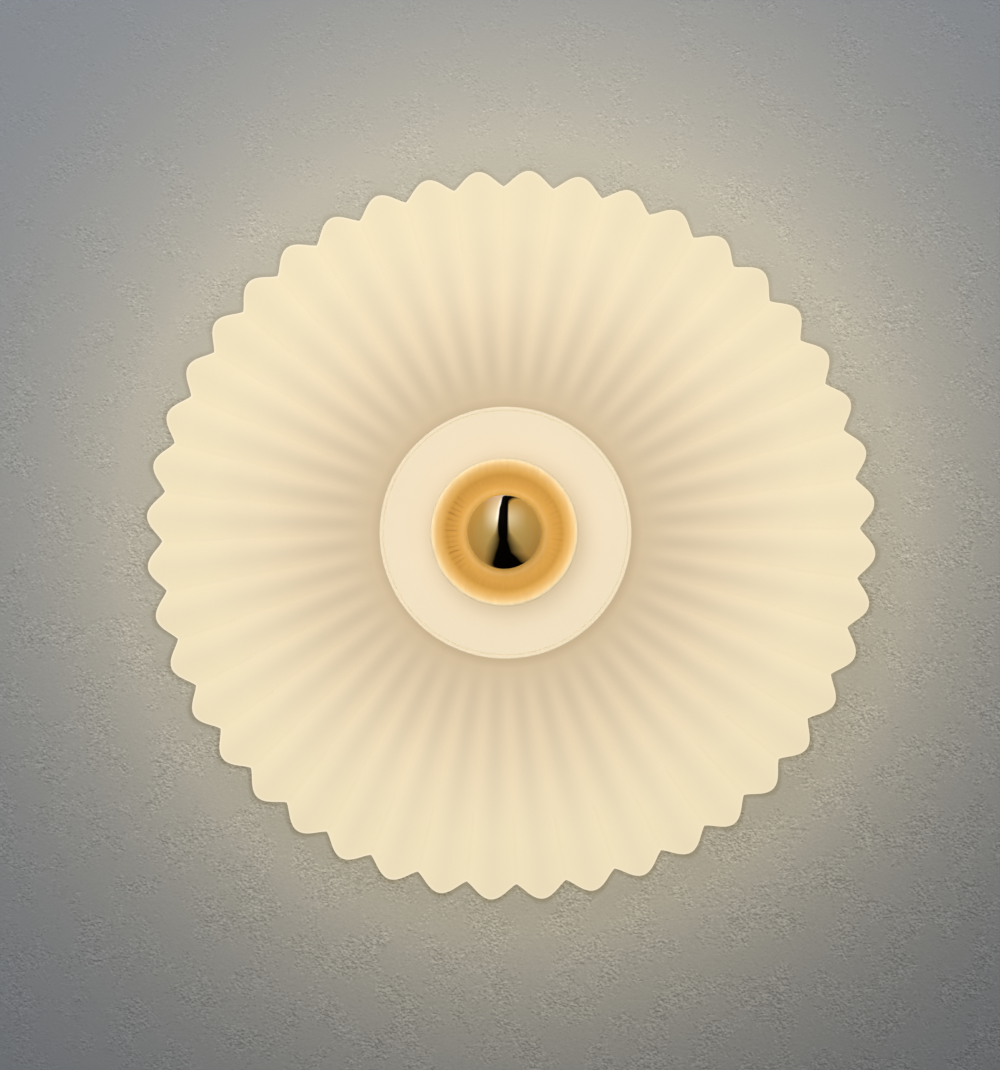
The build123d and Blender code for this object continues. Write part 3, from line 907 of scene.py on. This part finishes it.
# What the ball mirrors is given by the place on its face that shows it: across and up,
# from -1 to 1. Two bright sides have a dark gap between them, soft and wide low down.
# Each row of the gap: its height, its left edge and that edge's softness, and its right
# edge and that edge's softness
gap_rows = [
    (-0.85, 0.34, 0.28, 0.42, 0.35),
    (-0.70, 0.27, 0.32, 0.31, 0.40),
    (-0.55, 0.22, 0.32, 0.16, 0.40),
    (-0.40, 0.16, 0.36, 0.12, 0.40),
    (-0.20, 0.12, 0.30, 0.07, 0.28),
    (0.00, 0.155, 0.11, 0.085, 0.09),
    (0.20, 0.167, 0.03, 0.085, 0.05),
    (0.50, 0.142, 0.02, 0.085, 0.03),
    (0.65, 0.130, 0.02, 0.083, 0.03),
    (0.75, 0.105, 0.02, 0.080, 0.03),
    (0.85, 0.093, 0.02, 0.075, 0.10),
    (0.92, 0.09, 0.03, 0.12, 0.18),
    (1.00, 0.09, 0.04, 0.20, 0.25),
]
gap_strength = 0.003
# The camera looks at the ball from a little to its right and below
view_right = 0.017
view_up = -0.0075
# Tone of the bright sides, by distance from the middle of the ball's face
side_tones = [
    (0.40, (1.0, 0.86, 0.55)),
    (0.75, (1.0, 0.77, 0.42)),
    (0.95, (1.0, 0.66, 0.24)),
]
box_tone = (0.50, 0.70, 1.50)
streak_tone = (0.23, 0.54, 1.54)
black = (0.0, 0.0, 0.0)


def beside_gap(across, up):
    """1 on the bright sides, and near 0 in the gap between them."""
    place_up = sky.math("MULTIPLY_ADD", up, 0.5, 0.5)
    places = [(row[0] + 1) / 2 for row in gap_rows]
    sides = []
    for first, sign in ((1, -1.0), (3, 1.0)):
        edges = [(*row[first:first + 2], 0.0) for row in gap_rows]
        edge = sky.node("ShaderNodeSeparateColor")
        sky.feed(edge.inputs[0], sky.ramp(place_up, list(zip(places, edges))))
        beyond = sky.minus(sky.times(across, sign), edge.outputs[0])
        sides.append(sky.over(beyond, edge.outputs[1], clamp=True))
    return sky.plus(*sides, gap_strength)


def side_level(across, up, out):
    """How bright the sides are: more at the top, and less at the right and the ball's edge."""
    level = sky.minus(sky.span(up, -0.8, 0.6, 0.43, 0.61), sky.span(across, 0.25, 0.9, 0.0, 0.07))
    return sky.times(level, sky.span(out, 0.93, 1.0, 1.0, 0.95))


def cold_box(across, up, outer, inner, power, side, upper):
    """A cold glow beside the gap: from its outer to its inner edge, and up to its upper one."""
    return sky.times(
        sky.math("POWER", sky.span(across, outer, inner), power),
        sky.math(side, across, 0.0),
        sky.span(up, -0.12, 0.42, smooth=True),
        sky.span(up, *upper),
    )


def cold_streak(across, up):
    """A cold thin streak down the gap's left edge."""
    return sky.times(
        sky.span(sky.math("MULTIPLY_ADD", up, -0.19, across), -0.33, -0.28),
        sky.math("LESS_THAN", across, 0.0),
        sky.span(up, 0.2, 0.4, smooth=True),
        sky.span(up, 0.45, 0.80, 0.5, 1.0),
        sky.span(up, 0.86, 0.96, 1.0, 0.3),
    )


def background(colour, strength):
    """A background whose colour and strength may change with direction."""
    made = sky.node("ShaderNodeBackground")
    sky.tint(made.inputs["Color"], colour)
    sky.feed(made.inputs["Strength"], strength)
    return made.outputs[0]


def mirrored_studio():
    """The studio that the ball mirrors."""
    half = sky.math("MAXIMUM", sky.math("MULTIPLY_ADD", forwards, -2.0, 2.0), 0.0001)
    half = sky.math("SQRT", half)
    across = sky.minus(sky.over(sideways, half), view_right)
    up = sky.minus(sky.over(upwards, half), view_up)
    out = sky.radius(across, up)
    boxes = sky.math(
        "MAXIMUM",
        cold_box(across, up, -0.62, -0.18, 1.3, "LESS_THAN", (0.50, 0.95, 1.0, 0.4)),
        cold_box(across, up, 0.62, 0.16, 1.2, "GREATER_THAN", (0.45, 0.80, 0.42, 0.0)),
    )
    cold = sky.mix(1.0, sky.mix(boxes, black, box_tone),
                   sky.mix(cold_streak(across, up), black, streak_tone), "ADD")
    sides = sky.scaled(sky.ramp(out, side_tones), side_level(across, up, out))
    return background(sky.mix(1.0, sides, cold, "ADD"), beside_gap(across, up))


# What lights everything else: an even soft room, brighter behind the lamp; what rough
# metal shows of it; and the plain backdrop that the camera sees
even = sky.plus(sky.span(upwards, -1.0, 1.0, 0.44, 0.50), sky.span(forwards, 0.25, 0.8, 0.0, 0.30))
room = background((1.0, 0.99, 0.97), even)
soft = background((1.0, 0.98, 0.95), sky.span(upwards, -1.0, 1.0, 0.38, 0.80))
plain = background((0.62, 0.62, 0.61), 1.0)
path = sky.node("ShaderNodeLightPath").outputs
glossy = sky.either(path["Is Singular Ray"], soft, mirrored_studio())
studio = sky.either(path["Is Glossy Ray"], room, glossy)
sky.show(sky.either(path["Is Camera Ray"], studio, plain))

light_target = Vector((0, -90 * mm, 0))


def softbox(name, place, size, energy, receivers=()):
    """A round soft light aimed at the lamp, for these pieces alone where any are given."""
    data = bpy.data.lights.new(name, "AREA")
    data.shape = "DISK"
    data.size = size
    data.energy = energy
    light = bpy.data.objects.new(name, data)
    light.location = place
    light.rotation_euler = (light_target - Vector(place)).to_track_quat("-Z", "Y").to_euler()
    light.visible_glossy = False
    bpy.context.scene.collection.objects.link(light)
    if receivers:
        light.light_linking.receiver_collection = bpy.data.collections.new(name + "_receivers")
        for piece in receivers:
            light.light_linking.receiver_collection.objects.link(piece)


softbox("key_light", place=(-0.45, -1.9, 1.0), size=1.0, energy=2.5)
softbox("cup_light", place=(-0.12, -1.95, 0.14), size=2.0, energy=25, receivers=(cup, disc))

# Camera
camera_data = bpy.data.cameras.new("camera")
camera_data.sensor_width = sensor_size
camera_data.lens = sensor_size * camera_to_rim / (photo_height * metres_per_pixel)
camera_data.clip_start = 0.05
camera_data.clip_end = 20
camera = bpy.data.objects.new("camera", camera_data)
bpy.context.scene.collection.objects.link(camera)
bpy.context.scene.camera = camera
camera.location = (camera_right, -rim_distance - camera_to_rim, camera_up)
focal_pixels = camera_to_rim / metres_per_pixel
yaw = atan(camera_right / camera_to_rim) + atan((rim_centre_x - photo_width / 2) / focal_pixels)
pitch = atan(-camera_up / camera_to_rim) - atan((photo_height / 2 - rim_centre_y) / focal_pixels)
camera.rotation_euler = (radians(90) + pitch, 0, yaw)
bpy.context.scene.view_settings.view_transform = "Standard"
bpy.context.scene.view_settings.look = "None"
